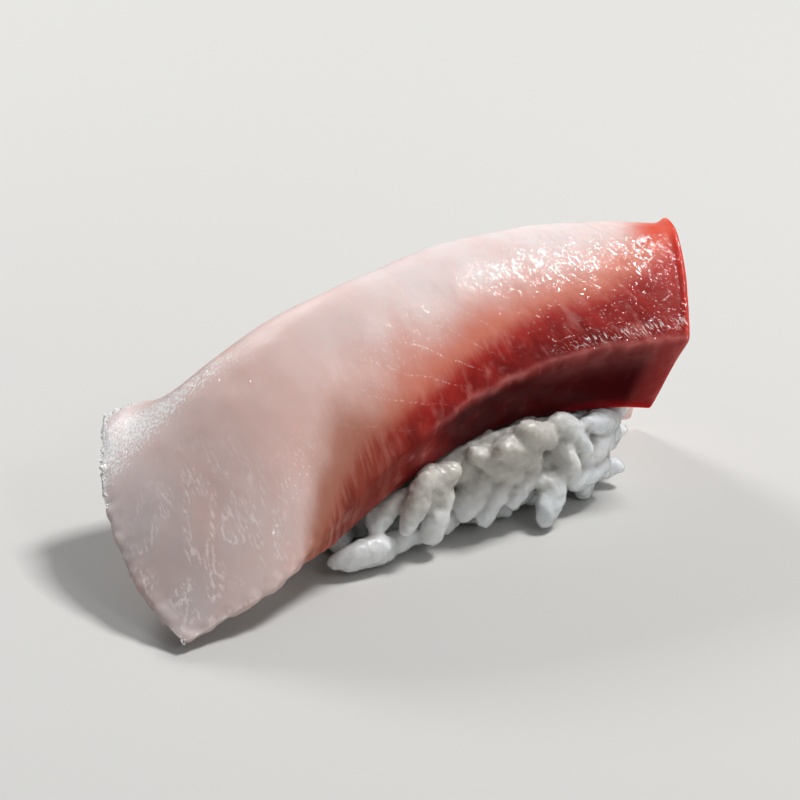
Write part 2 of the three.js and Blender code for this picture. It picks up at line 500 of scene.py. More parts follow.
    def _dark_muscle(self, dye: Dye, colour: Socket) -> Socket:
        """The dark muscle, whose edge frays along the fibres and fades through salmon."""
        salmon = self._zone(dye, "salmon", self.salmon_fray)
        red = self._zone(dye, "red", self.red_fray)
        spans = ((salmon, -1.0, 1.0), (salmon, -0.3, 1.2), (red, -1.0, 1.0), (red, -1.0, 0.6),
                 (red, 0.2, 1.8), (red, 1.2, 4.2, 0.0, 0.5))
        in_salmon, well_in_salmon, in_red, near_red, well_in_red, deep_in_red = (
            dye.add("MapRange", span, interpolation_type="SMOOTHSTEP") for span in spans)
        # Towards the tail the muscle is duller and browner, and darker as painted shade where the light
        # falls off.
        colour = dye.lay(colour, dye.lay(self.salmon, self.brown, "dull"), in_salmon)
        colour = dye.lay(colour, dye.lay(self.red, self.dull_shaded_red, "dull"), in_red)
        colour = dye.lay(colour, self.dull_shaded_stripe, self.stripes, near_red, "dull")
        colour = dye.lay(colour, self.dark, self.veins, well_in_red, "dusk")
        colour = dye.lay(colour, self.dark, deep_in_red, "dusk")
        return dye.lay(colour, self.gristle, self.threads, well_in_salmon, "pinkish")

    def _skin_side(self, dye: Dye, colour: Socket) -> Socket:
        """The face that lay under the skin: almost black-red, partly as painted shade, with a pinkish film
        below its upper edge whose streak along the ridge is partly a painted highlight.
        """
        # Painted shade in part: the near-black red of the face under the skin.
        colour = dye.lay(colour, self.deep_and_shade, "deep_and_shade", self.blotches.over(0.25, 0.6, 0.8, 1.0))
        # The pinkish film, partly a painted highlight along the ridge.
        colour = dye.lay(colour, self.film_and_sheen, "film_and_sheen", self.blotches.over(0.36, 0.6, 0.5, 1.0))
        return dye.lay(colour, self.rim, "rim")

    def _fresh_cuts(self, dye: Dye, colour: Socket) -> Socket:
        """The red lip of the right cut with the painted glow behind it, the white combed strokes above the
        ridge, which are painted glints, fine lines, and frost with painted white glints in it.
        """
        # The lip mask also holds the ember, a painted glow behind the right cut.
        colour = dye.lay(colour, self.lip, "lip")
        # Painted glints: white combed strokes just above the ridge.
        colour = dye.lay(colour, self.fat, self.painted_comb, "painted_comb")
        colour = dye.lay(colour, self.frost, self._lines(dye))
        colour = dye.lay(colour, self.frost, "frost", 0.22)
        # Painted glints: pure white specks scattered through the frost.
        painted_frost_glints = dye.add("Math", (dye.pattern(self.painted_frost_glints), 4.2, -1.55), operation="MULTIPLY_ADD")
        painted_frost_glints = dye.add("MapRange", (dye.share("frost", painted_frost_glints), 0.25, 0.75),
                           interpolation_type="SMOOTHSTEP")
        return dye.lay(colour, self.sparkle, painted_frost_glints)

    def _lines(self, dye: Dye) -> Socket:
        """Thin white lines of connective tissue, broken into dots, that cross the flank at a slant."""
        place = dye.add("Attribute", (), "Vector", attribute_name="line_place")
        across = dye.add("SeparateXYZ", (place,))
        drift = dye.pattern(self.line_drift, place)
        across = dye.add("Math", (drift, self.line_wander, across), operation="MULTIPLY_ADD")
        off = dye.add("Math", (across, self.line_spacing / 2), operation="PINGPONG")
        line = dye.add("MapRange", (off, 0.0, self.line_width, 0.8, 0.0), interpolation_type="SMOOTHSTEP")
        return dye.share(line, dye.pattern(self.line_dots, place), "lines")

    def _wet_relief(self, dye: Dye) -> Socket:
        """The skin of the water: it follows the fibres' ends, and stands up in drops and on frost."""
        relief = dye.relief(0.24, None, self.wet_strokes, "strokes")
        relief = dye.relief(0.1, relief, self._marbling(dye))
        relief = dye.relief(0.07, relief, self.drops)
        return dye.relief(0.2, relief, self.specks, "specks")


@dataclass(frozen=True)
class Rime:
    """Crumbs of ice on the frozen edge of a fresh cut: clear, wet and rough, so that they sparkle."""

    ice: str = "#fbfcfc"
    name: str = "rime_ice"

    def build(self) -> bpy.types.Material:
        """Makes the material."""
        return Dye(self.name).finish(
            Base_Color=self.ice,
            Roughness=0.25,
            IOR=1.31,
            Subsurface_Weight=0.8,
            Subsurface_Radius=(1.0, 1.0, 1.0),
            Subsurface_Scale=0.05 * MM,
            Coat_Weight=0.6,
            Coat_Roughness=0.05,
            Coat_IOR=1.33,
        )


@dataclass(frozen=True)
class SteamedRice:
    """Short-grain rice, steamed and seasoned: cloudy white, sticky grains that pass light to each other.

    The seasoning leaves a thin wet gloss with small glints, and some grains are clearer and greyer than
    others.
    """

    white: str = "#fcfeff"
    clear: str = "#dde5ea"
    join: str = "#c2beb7"
    shaded: str = "#cdc9c2"
    clouds: Cloud = Cloud((3.333, 3.333, 3.333)).over(0.3, 0.7, 0.0, 0.4)
    dents: Cloud = Cloud((0.9091, 0.9091, 0.9091), 3.0, 0.55)
    starch: Cloud = Cloud((0.5263, 0.5263, 0.5263), 2.0, 0.6)
    tone_spread: float = 0.45
    name: str = "steamed_short_grain_rice"

    def build(self) -> bpy.types.Material:
        """Makes the material.

        Returns:
            The finish for the heap of grains, which reads the masks that RiceHeap stores.
        """
        dye = Dye(self.name, "grain_place")
        clouds = dye.pattern(self.clouds)
        shade = dye.add("Math", (dye.share("tone"), self.tone_spread, clouds), operation="MULTIPLY_ADD")
        joins = dye.add("MapRange", (dye.share("proud"), -0.25, 0.12, 0.8, 0.0),
                        interpolation_type="SMOOTHSTEP")
        colour = dye.lay(self.white, self.clear, shade)
        colour = dye.lay(colour, self.shaded, "shaded")
        colour = dye.lay(colour, self.join, joins)
        relief = dye.relief(0.16, None, self.dents)
        return dye.finish(
            Base_Color=colour,
            Roughness=0.27,
            Normal=relief,
            IOR=1.4,
            Specular_IOR_Level=0.4,
            Subsurface_Weight=1.0,
            Subsurface_Radius=(1.0, 0.96, 0.88),
            Subsurface_Scale=1.3 * MM,
            Coat_Weight=0.5,
            Coat_Roughness=0.06,
            Coat_IOR=1.42,
            Coat_Normal=dye.relief(0.26, relief, self.starch),
        )


@dataclass(frozen=True)
class SweepPaper:
    """Matt white sweep paper under the food: even and without a pattern that would draw the eye."""

    white: str = "#cfcecb"
    name: str = "sweep_paper"

    def build(self) -> bpy.types.Material:
        """Makes the material of the floor."""
        return Dye(self.name).finish(Base_Color=self.white, Roughness=0.65)


# ---------- the slice ----------


class Line(Enum):
    """The long lines of the slice, from the skin side's lower edge over the crest to the far edge."""

    LOWER = 0
    RIDGE = 1
    SHOULDER = 2
    CREST = 3
    BACK = 4
    HEM = 5


@dataclass(frozen=True)
class SliceForm:
    """The drape of the slice, in the drawing frame, mm.

    s runs from the tail cut to the right cut, t from the ridge over the crest to the hem, and d from the
    upper face down to the underside.
    """

    sections: tuple[tuple[Point, ...], ...] = (
        ((-31.2, -11.7, 0.2), (-32.0, -12.2, 1.2), (-32.7, -5.0, 4.1),
         (-31.2, 3.0, 7.5), (-28.6, 9.4, 10.5), (-25.3, 14.6, 12.9)),
        ((-19.8, -9.7, 2.1), (-20.2, -11.2, 4.4), (-22.0, -6.1, 10.3),
         (-22.0, 4.6, 14.6), (-20.6, 11.2, 15.0), (-18.8, 15.9, 12.6)),
        ((-11.6, -6.9, 4.3), (-11.7, -8.5, 8.3), (-12.2, -5.0, 15.4),
         (-11.5, 5.2, 21.2), (-10.5, 12.4, 18.0), (-8.8, 15.3, 9.8)),
        ((0.5, -4.6, 8.4), (0.3, -6.5, 13.6), (0.5, -2.9, 19.4),
         (0.8, 6.2, 24.9), (2.5, 13.2, 19.0), (3.0, 14.9, 8.0)),
        ((9.8, -3.6, 9.9), (9.8, -5.3, 15.9), (10.5, -2.0, 21.3),
         (11.5, 6.6, 26.3), (13.5, 13.4, 19.0), (14.5, 14.2, 6.2)),
        ((18.9, -4.0, 9.7), (20.3, -6.0, 17.0), (21.5, -2.2, 21.8),
         (23.5, 6.2, 26.0), (26.0, 12.2, 18.4), (26.0, 12.2, 3.8)),
        ((25.9, -7.0, 9.2), (29.8, -8.1, 16.7), (33.3, -2.6, 22.0),
         (36.2, 3.5, 24.3), (38.2, 8.2, 16.0), (35.2, 8.4, 0.6)),
    )
    tail_thickness: float = 1.8
    body_thickness: float = 5.2
    hem_thinning: float = 0.62
    full_thickness_at: float = 0.5
    right_cut_lean: float = 0.05
    length: float = 72.0
    breadth: float = 38.0

    def upper(self, s: Array, t: Array) -> Array:
        """Points of the upper face on a grid.

        Args:
            s: places along the slice.
            t: places across it.

        Returns:
            An array of len(s) by len(t) points.
        """
        knots = np.array(self.sections)[:, Line.RIDGE.value:]
        return np.einsum("si,tj,ijk->stk", spline_weights(7, s), spline_weights(5, t), knots)

    def outward(self, s: Array, t: Array) -> Array:
        """The upper face's outward directions on a grid."""
        step = 1e-3
        along = self.upper(np.minimum(s + step, 1), t) - self.upper(np.maximum(s - step, 0), t)
        across = self.upper(s, np.minimum(t + step, 1)) - self.upper(s, np.maximum(t - step, 0))
        return unit(np.cross(along, across))

    def thickness(self, s: Array, t: Array) -> Array:
        """How thick the slice is, on a grid."""
        thin, full = self.tail_thickness, self.body_thickness
        at_ridge = thin + (full - thin) * soft_step(s, 0, self.full_thickness_at)
        return at_ridge[:, None] * (1 - (1 - self.hem_thinning) * soft_step(t))[None, :]

    def under(self, s: Array, t: Array) -> Array:
        """Points of the underside on a grid, as the CAD solid has them."""
        inner = s * (1 - self.right_cut_lean)
        stations = np.linspace(0, 1, 5)[1:]
        sunk = self.upper(inner, stations)
        sunk = sunk - self.outward(inner, stations) * self.thickness(inner, stations)[..., None]
        lower = spline_weights(7, s) @ np.array(self.sections)[:, Line.LOWER.value]
        knots = np.concatenate([lower[:, None], sunk], axis=1)
        return np.einsum("tj,sjk->stk", spline_weights(5, t), knots)


@dataclass(frozen=True)
class Spot:
    """A soft round spot on the slice: its middle along (s) and across (t), and its half widths there."""

    s: float
    t: float
    half_s: float
    half_t: float

    def shows(self, places: Array) -> Array:
        """How much of the spot shows at each (s, t, d) place, 1 in its middle."""
        return hump(places[:, 0], self.s, self.half_s) * hump(places[:, 1], self.t, self.half_t)


@dataclass
class FishSlice:
    """The draped slice: one closed skin with rounded cut edges, relief and masks for its finish.

    The lines of the dark muscle are (s, t) knots, and the fades are (s, mm) knots that say how wide the
    soft edge is there. Reliefs are heights in mm.
    """

    form: SliceForm = field(default_factory=SliceForm)
    steps: tuple[int, int, int] = (300, 124, 22)
    edge_rounds: int = 5
    tail_rounds: int = 14
    edge_thinning: float = 0.55
    broad_relief: float = 0.22
    fine_relief: float = 0.07
    ragged_relief: float = 0.3
    frost_relief: float = 0.42
    lip_height: float = 0.22
    lip_width: float = 0.9
    crease_depth: float = 0.05
    nub_height: float = 0.7
    nub_width: float = 1.1
    nub_place: Span = (0.985, 0.485)
    line_slant: float = 43.0
    tail_lean: float = -0.27
    end_lean: float = 0.53
    salmon_line: tuple[Span, ...] = (
        (0.0, -0.4), (0.2, -0.05), (0.27, 0.1), (0.31, 0.19), (0.36, 0.255), (0.41, 0.285),
        (0.46, 0.275), (0.54, 0.268), (0.63, 0.298), (0.71, 0.308), (0.78, 0.312), (0.85, 0.335),
        (0.91, 0.39), (0.95, 0.46), (0.985, 0.53), (1.0, 0.55))
    red_line: tuple[Span, ...] = (
        (0.0, -0.4), (0.24, -0.05), (0.283, 0.02), (0.313, 0.055), (0.35, 0.1), (0.39, 0.14),
        (0.44, 0.142), (0.5, 0.14), (0.6, 0.168), (0.69, 0.215), (0.77, 0.23), (0.84, 0.232),
        (0.915, 0.265), (0.97, 0.31), (1.0, 0.4))
    salmon_fade: tuple[Span, ...] = (
        (0.0, 3.0), (0.24, 2.0), (0.3, 2.8), (0.4, 5.4), (0.5, 4.4), (0.65, 3.0), (1.0, 3.0))
    red_fade: tuple[Span, ...] = ((0.0, 2.0), (0.4, 1.8), (0.5, 2.0), (0.7, 1.6), (1.0, 1.7))
    ring_centre: Span = (0.103, 0.21)
    ring_reach: Span = (5.0, 13.0)
    top_depth: Span = (0.1, 0.5)
    pale_spot: Spot = Spot(0.22, 0.16, 0.06, 0.1)
    flank_painted_glints: Spot = Spot(0.5, 0.27, 0.09, 0.09)
    tail_painted_glints: Spot = Spot(0.28, 0.2, 0.05, 0.07)
    flank_lines: Spot = Spot(0.53, 0.23, 0.1, 0.12)
    ember_spot: Spot = Spot(0.965, 0.43, 0.032, 0.1)
    gleam_spot: Spot = Spot(0.27, 0.215, 0.03, 0.05)
    crest_specks: Spot = Spot(0.3, 0.5, 0.12, 0.14)
    comb_height: float = 2.2
    name: str = "fish_flesh_slice"
    shift: Array = field(default_factory=lambda: np.zeros(3))

    def build(self, cut: bpy.types.Material, skin_side: bpy.types.Material) -> bpy.types.Object:
        """Builds and dresses the slice.

        Args:
            cut: the finish of the faces that the knife cut.
            skin_side: the finish of the face that lay under the skin.

        Returns:
            The piece.
        """
        places, faces = self._skin_grid()
        points = self._solid_points(places)
        self.shift = self._drawing_to_row(points)
        points = relax(points, faces, self.edge_rounds, 0.6)
        softer = relax(points, faces, self.tail_rounds, 0.6)
        share = 1 - soft_step(places[:, :1], 0.18, 0.42)
        points = points * (1 - share) + softer * share
        points = self._add_relief(points, places, faces)
        points[:, 2] = np.maximum(points[:, 2], 0.0)
        piece = make_mesh(self.name, points + self.shift, faces)
        self._store_masks(piece, places)
        piece.data.materials.append(cut)
        piece.data.materials.append(skin_side)
        on_side = (places[faces, 1] == 0).all(axis=1)
        piece.data.polygons.foreach_set("material_index", on_side.astype(np.int32))
        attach(piece, BODY)
        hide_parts("fish_slice")
        log.info("%s: %d faces", piece.name, len(faces))
        return piece

    def _skin_grid(self) -> tuple[Array, Array]:
        """The six faces of an s, t, d block as one closed grid of quads facing out.

        Returns:
            The (s, t, d) place of each vertex and the quads.
        """
        ns, nt, nd = self.steps
        number = np.arange((ns + 1) * (nt + 1) * (nd + 1)).reshape(ns + 1, nt + 1, nd + 1)
        sheets = [
            (number[:, :, 0], False), (number[:, :, -1], True),
            (number[:, 0, :], True), (number[:, -1, :], False),
            (number[0, :, :], False), (number[-1, :, :], True),
        ]
        quads = []
        for sheet, turned in sheets:
            ring = [sheet[:-1, :-1], sheet[1:, :-1], sheet[1:, 1:], sheet[:-1, 1:]]
            quad = np.stack([corner.ravel() for corner in ring], axis=1)
            quads.append(quad[:, ::-1] if turned else quad)
        used, faces = np.unique(np.concatenate(quads), return_inverse=True)
        k = np.stack(np.unravel_index(used, number.shape), axis=1)
        return k / np.array([ns, nt, nd]), faces.reshape(-1, 4)

    def _solid_points(self, places: Array) -> Array:
        """The point of each (s, t, d) place, before rounding and relief."""
        ns, nt, _ = self.steps
        s, t = np.linspace(0, 1, ns + 1), np.linspace(0, 1, nt + 1)
        top, bottom = self.form.upper(s, t), self.form.under(s, t)
        i = np.rint(places[:, 0] * ns).astype(int)
        j = np.rint(places[:, 1] * nt).astype(int)
        s, t, d = places.T
        drawn_in = self.edge_thinning * (1 - soft_step(s, 0.2, 0.34)) * (1 - soft_step(t, 0.0, 0.1))
        d = (d * (1 - drawn_in))[:, None]
        return top[i, j] * (1 - d) + bottom[i, j] * d

    def _drawing_to_row(self, points: Array) -> Array:
        """The move from the drawing frame to the row frame, from the CAD slice's box."""
        low, high = (np.array(corner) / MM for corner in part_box("fish_slice"))
        middle = (points.min(axis=0) + points.max(axis=0)) / 2
        shift = (low + high) / 2 - middle
        shift[2] = 0.0
        return shift

    def _normals(self, points: Array, faces: Array) -> Array:
        """The outward direction at each vertex."""
        corner = points[faces]
        flat = np.cross(corner[:, 2] - corner[:, 0], corner[:, 3] - corner[:, 1])
        total = np.zeros_like(points)
        for k in range(4):
            np.add.at(total, faces[:, k], flat)
        return unit(total)

    def _add_relief(self, points: Array, places: Array, faces: Array) -> Array:
        """Raises and lowers the skin: broad unevenness, the lip and nub of the right cut, ragged frost."""
        s, t, d = places.T
        lift = self.broad_relief * unevenness(points, 8.0, 1.0)
        lift += self.fine_relief * unevenness(points, 3.0, 2.0)
        low_edge = hump(t, 0.0, 0.03) * (1 - soft_step(s, 0.3, 0.42))
        ragged = np.clip(hump(s * self.form.length, 0.0, 1.2) + low_edge, 0, 1)
        rags = unevenness(points, 2.4, 6.0) + 0.5 * unevenness(points, 0.9, 7.0)
        lift += self.ragged_relief * ragged * rags
        on_top = 1 - soft_step(d, 0.0, 0.3)
        from_cut = (1 - s) * self.form.length
        lip = self.lip_height * hump(from_cut, self.lip_width / 2, self.lip_width / 2)
        crease = self.crease_depth * hump(from_cut, self.lip_width * 1.5, self.lip_width / 2)
        lift += (lip - crease) * on_top * (1 - soft_step(t, 0.5, 0.62))
        reach = np.hypot(from_cut - (1 - self.nub_place[0]) * self.form.length,
                         (t - self.nub_place[1]) * self.form.breadth)
        lift += self.nub_height * hump(reach, 0.0, self.nub_width / 2) * on_top
        crumbs = np.abs(unevenness(points, 0.55, 4.0)) + 0.5 * unevenness(points, 0.3, 5.0)
        lift += self.frost_relief * self._frost_edge(places) * crumbs
        return points + self._normals(points, faces) * lift[:, None]

    def _grain(self, places: Array) -> Array:
        """Where each vertex lies in the flesh, mm: across the fibres, along them, and in depth."""
        s, t, d = places.T
        lean = self.tail_lean + (self.end_lean - self.tail_lean) * s
        across = (t - 0.35) * self.form.breadth
        along = s * self.form.length
        return np.stack([along + lean * across, across, d * self.form.body_thickness], axis=1)

    def _frost_edge(self, places: Array) -> Array:
        """Where the thin cut's far corner is ragged with frost, 0 to 1."""
        s, t, _ = places.T
        from_tail = s * self.form.length
        from_hem = (1 - t) * self.form.breadth
        tail_cut = hump(from_tail, 0.0, 0.5) * soft_step(t, 0.45, 0.7)
        hem = hump(from_hem, 0.0, 0.6) * (1 - soft_step(s, 0.14, 0.24))
        return np.clip(tail_cut + hem, 0, 1)

    def _store_masks(self, piece: bpy.types.Object, places: Array) -> None:
        """Stores what the finish reads: places in the flesh and how much of each feature shows."""
        flesh_place = self._grain(places)
        masks = {
            "grain": flesh_place,
            "line_place": self._place_in_flesh(places) @ self._line_turn(),
            **self._pale_masks(places),
            **self._muscle_masks(places, flesh_place),
            **self._wet_masks(places, flesh_place),
        }
        for name, values in masks.items():
            store(piece, name, values)

    def _pale_masks(self, places: Array) -> dict[str, Array]:
        """Masks of the pale flesh: how pale it is, how near the tail, where painted glints lie as white
        ticks, and where its fat shows.
        """
        s, t, d = places.T
        on_top = 1 - soft_step(d, *self.top_depth)
        # Whitest on the crest, partly as painted sheen; the pale spot low on the flank is whiter fat.
        pale = soft_step(t, 0.22, 0.46) * soft_step(s, 0.22, 0.6) * (1 - 0.5 * soft_step(s, 0.78, 0.95))
        pale += 0.5 * self.pale_spot.shows(places)
        # Painted glints lie as white ticks on the flank, by the tail and near the red end, and thinly over
        # the rest of the top past the tail.
        painted_glints = self.flank_painted_glints.shows(places) + self.tail_painted_glints.shows(places)
        painted_glints += soft_step(s, 0.68, 0.85) * hump(t, 0.2, 0.13) + 0.2 * soft_step(s, 0.3, 0.5)
        along_rings = (s - self.ring_centre[0]) * self.form.length
        across_rings = (t - self.ring_centre[1]) * self.form.breadth
        from_rings = np.hypot(along_rings, across_rings)
        far_side = 0.4 * soft_step(t, 0.5, 0.65) * (1 - soft_step(t, 0.93, 1.0)) * soft_step(s, 0.1, 0.3)
        return {
            "pale": np.clip(pale * (1 - 0.15 * soft_step(t, 0.6, 0.9)), 0, 1),
            "tail": 1 - soft_step(s, 0.0, 0.3),
            "tip": 0.75 * hump(s, 0.0, 0.13) * (1 - soft_step(t, 0.3, 0.6)),
            "painted_glints": np.clip(painted_glints, 0, 1) * on_top * (1 - 0.7 * soft_step(s, 0.88, 0.95)),
            "marble": (1 - soft_step(from_rings, *self.ring_reach)) * on_top,
            "lines": (self.flank_lines.shows(places) + far_side) * on_top,
        }

    def _muscle_masks(self, places: Array, flesh_place: Array) -> dict[str, Array]:
        """Masks of the dark muscle, of the face under the skin, and of the right cut's lip and the painted
        glow behind it.

        Args:
            places: the (s, t, d) place of each vertex.
            flesh_place: its place in the flesh, mm.

        Returns:
            The values of each mask. Those of salmon and red are 0 at the zone's edge and rise inwards.
        """
        s, t, d = places.T
        form = self.form
        # Inside the flesh the colour zones reach less far up from the ridge.
        drawn_in = 1 - 0.3 * d * soft_step(s, 0.3, 0.5)
        salmon = (through(self.salmon_line, s) * drawn_in - t) * form.breadth
        red = (through(self.red_line, s) * drawn_in - t) * form.breadth
        from_ridge = t * form.breadth
        up_from_ridge = from_ridge - d * form.body_thickness
        from_cut = (1 - s) * form.length
        on_top = 1 - soft_step(d, *self.top_depth)
        side = 1 - soft_step(t, 0.0, 0.006)
        at_end = soft_step(s, 0.92, 0.985)
        # The near-black red is partly painted shade, darkest low on the face, away from the ridge.
        deep_and_shade = side * soft_step(s, 0.46, 0.56) * (0.35 + 0.65 * soft_step(d, 0.03, 0.2))
        # The film lies on the ridge and just below it, round the thick end, and low in the middle. Along
        # the ridge its pink streak is partly a painted highlight.
        ripple = 0.9 * unevenness(flesh_place, 5.0, 15.0) + 0.35 * unevenness(flesh_place, 1.6, 16.0)
        film_and_sheen = 0.8 * hump(up_from_ridge, 0.25 + ripple, 0.55) * soft_step(s, 0.45, 0.56)
        film_and_sheen += 0.35 * hump(up_from_ridge, -0.8, 0.9) * soft_step(s, 0.68, 0.8)
        film_and_sheen += side * (0.5 * hump(from_cut, 0.5, 0.6) + 0.45 * at_end)
        film_and_sheen += 0.4 * hump(d, 1.0, 0.07) * hump(s, 0.68, 0.14) * side
        # The lip is a red line along the right cut, and the ember a painted glow of the light that shines
        # through behind it.
        lip = hump(from_cut, 0.0, 0.75) * (1 - soft_step(t, 0.5, 0.6)) * soft_step(from_ridge, 0.0, 1.0)
        lip *= 0.75 + 0.5 * unevenness(flesh_place, 1.3, 10.0)
        ember = 0.6 * self.ember_spot.shows(places)
        ember += 0.2 * soft_step(s, 0.92, 0.98) * hump(t, 0.28, 0.16)
        return {
            "salmon": salmon / through(self.salmon_fade, s),
            "red": red / through(self.red_fade, s),
            # Duller towards the tail, and darker there as painted shade.
            "dull": 1 - soft_step(s, 0.36, 0.5),
            # Fewer dark veins at the thick end, partly a painted glow of light through it.
            "dusk": 1 - 0.5 * soft_step(s, 0.86, 0.96),
            "pinkish": (1 - 0.75 * soft_step(s, 0.9, 0.96)) * soft_step(s, 0.36, 0.46),
            "deep_and_shade": deep_and_shade * (1 - 0.8 * at_end),
            "film_and_sheen": np.clip(film_and_sheen, 0, 1),
            "rim": side * (0.7 * soft_step(d, 0.78, 0.97) * soft_step(s, 0.74, 0.84) + 0.3 * at_end),
            "lip": np.clip((lip + ember) * on_top, 0, 1),
            # The comb is a row of painted glints just above the ridge.
            "painted_comb": hump(up_from_ridge, self.comb_height, 0.8) * soft_step(s, 0.72, 0.84) * on_top,
        }

    def _wet_masks(self, places: Array, flesh_place: Array) -> dict[str, Array]:
        """Masks of frost and water: how frosty and how wet the skin is, and what the water stands up in.

        Args:
            places: the (s, t, d) place of each vertex.
            flesh_place: its place in the flesh, mm.

        Returns:
            The values of each mask.
        """
        s, t, d = places.T
        up_from_ridge = t * self.form.breadth - d * self.form.body_thickness
        from_cut = (1 - s) * self.form.length
        on_top = 1 - soft_step(d, *self.top_depth)
        # Frost lies in a band that runs from the far tail corner on to the crest and grows narrow there.
        crest_line = 0.78 - 0.26 * soft_step(s, 0.0, 0.38)
        band_width = 0.19 - 0.1 * soft_step(s, 0.03, 0.24)
        band = hump(t - crest_line, 0.0, band_width) * (1 - soft_step(s, 0.12, 0.42)) * on_top
        on_cut = 0.3 * hump(from_cut, 0.1, 0.3) * soft_step(t, 0.02, 0.1) * (1 - soft_step(t, 0.5, 0.6))
        frost = np.clip(band + self._frost_edge(places) + on_cut, 0, 1)
        # The coloured flesh is wettest. The pale flesh has dabs of wet, and more of them low on the flank.
        gleam = self.gleam_spot.shows(places) * on_top
        coloured = soft_step(s, 0.6, 0.8) * (1 - soft_step(t, 0.38, 0.52))
        back = soft_step(t, 0.58, 0.7) * on_top
        dabs = soft_step(unevenness(flesh_place, 1.1, 14.0), 0.12, 0.4)
        wet = 0.08 + 0.92 * coloured + 0.6 * frost + 0.6 * gleam + 0.22 * back
        wet += 0.3 * (1 - soft_step(s, 0.24, 0.34)) * (1 - soft_step(t, 0.4, 0.6))
        wet += 0.42 * dabs * (1 - 0.85 * soft_step(t, 0.28, 0.4))
        strokes = soft_step(s, 0.66, 0.82) * hump(t, 0.32, 0.16)
        strokes += soft_step(s, 0.68, 0.8) * hump(up_from_ridge, self.comb_height, 1.2)
        flank = 0.2 * soft_step(s, 0.25, 0.45) * (1 - soft_step(t, 0.4, 0.55))
        on_crest = 0.7 * self.crest_specks.shows(places)
        by_lip = 0.3 * hump(from_cut, 1.0, 1.0)
        return {
            "frost": frost,
            "wet": np.clip(wet * (1 - 0.45 * hump(from_cut, 2.0, 2.0)), 0, 1),
            "strokes": np.clip(strokes * on_top + gleam + flank + 0.5 * coloured, 0, 1),
            "specks": np.clip(frost + (on_crest + by_lip) * on_top, 0, 1),
        }

    def _place_in_flesh(self, places: Array) -> Array:
        """Where each vertex lies along, across and into the slice, mm."""
        return places * np.array([self.form.length, self.form.breadth, self.form.body_thickness])

    def _line_turn(self) -> Array:
        """Turns along and across so that the first runs square to the slanting lines."""
        a = math.radians(self.line_slant)
        return np.array([[math.sin(a), math.cos(a), 0], [math.cos(a), -math.sin(a), 0], [0, 0, 1]])


@dataclass
class FrostCrumbs:
    """Crumbs of ice: a crust along the far corner of the thin cut, and fine grains on the frosted band."""

    form: SliceForm
    shift: Array
    crust_size: Span = (0.1, 0.42)
    grain_size: Span = (0.06, 0.16)
    along_cut: int = 260
    along_hem: int = 130
    at_tip: int = 10
    on_band: int = 60
    seed: int = 5
    name: str = "frost_crumbs"

    def build(self, finish: bpy.types.Material) -> bpy.types.Object:
        """Builds and dresses the crumbs.

        Args:
            finish: the material of the ice.

        Returns:
            All crumbs as one piece.
        """
        rng = np.random.default_rng(self.seed)
        s, t, sizes = self._places(rng)
        ball, triangles = self._ball()
        parts = []
        for k in range(len(s)):
            here = (np.array([s[k]]), np.array([t[k]]))
            sunk = rng.uniform(-0.1, 0.45) if sizes[k] > self.grain_size[1] else 0.05
            middle = self.form.upper(*here)[0, 0] - self.form.outward(*here)[0, 0] * sunk
            lump = ball * (1 + 0.6 * unevenness(ball, 0.6, float(k)))[:, None] * rng.uniform(0.45, 1.4, 3)
            lump = lump @ np.array(Euler(rng.uniform(0, 6.3, 3)).to_matrix())
            lump = lump * sizes[k] / 2 + middle + self.shift
            parts.append(lump + np.array([0, 0, max(-lump[:, 2].min(), 0.0)]))
        faces = np.concatenate([triangles + k * len(ball) for k in range(len(parts))])
        piece = make_mesh(self.name, np.concatenate(parts), faces)
        piece.data.polygons.foreach_set("use_smooth", np.zeros(len(piece.data.polygons), dtype=bool))
        piece.data.materials.append(finish)
        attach(piece, BODY)
        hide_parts("fish_slice")
        log.info("%s: %d crumbs", piece.name, len(parts))
        return piece

    def _places(self, rng: np.random.Generator) -> tuple[Array, Array, Array]:
        """Where each crumb sits along and across the slice, and how big it is."""
        cut, hem, tip, band = self.along_cut, self.along_hem, self.at_tip, self.on_band
        on_band = 0.34 * rng.uniform(0, 1, band) ** 1.5
        s = np.concatenate([np.abs(rng.normal(0, 0.004, cut)), 0.15 * rng.uniform(0, 1, hem) ** 1.3,
                            np.abs(rng.normal(0, 0.004, tip)), on_band])
        band_line = 0.79 - 0.27 * soft_step(on_band, 0.0, 0.38)
        t = np.concatenate([1 - 0.5 * rng.uniform(0, 1, cut) ** 1.4, 1 - np.abs(rng.normal(0, 0.008, hem)),
                            np.abs(rng.normal(0, 0.012, tip)), band_line + rng.normal(0, 0.055, band)])
        coarse = rng.uniform(*self.crust_size, len(s) - band) * rng.uniform(0.5, 1.0, len(s) - band)
        return s, np.clip(t, 0, 1), np.concatenate([coarse, rng.uniform(*self.grain_size, band)])

    def _ball(self) -> tuple[Array, Array]:
        """A ball of triangles about one unit in radius."""
        shell = bmesh.new()
        bmesh.ops.create_icosphere(shell, subdivisions=1, radius=1.0)
        shell.verts.ensure_lookup_table()
        points = np.array([v.co for v in shell.verts])
        faces = np.array([[v.index for v in face.verts] for face in shell.faces])
        shell.free()
        return points, faces


# ---------- the rice ----------


@dataclass(frozen=True)
class LaidGrain:
    """A grain that shows well, listed one by one: its two ends in the drawing frame and its girth, mm."""

    start: Point
    end: Point
    girth: float


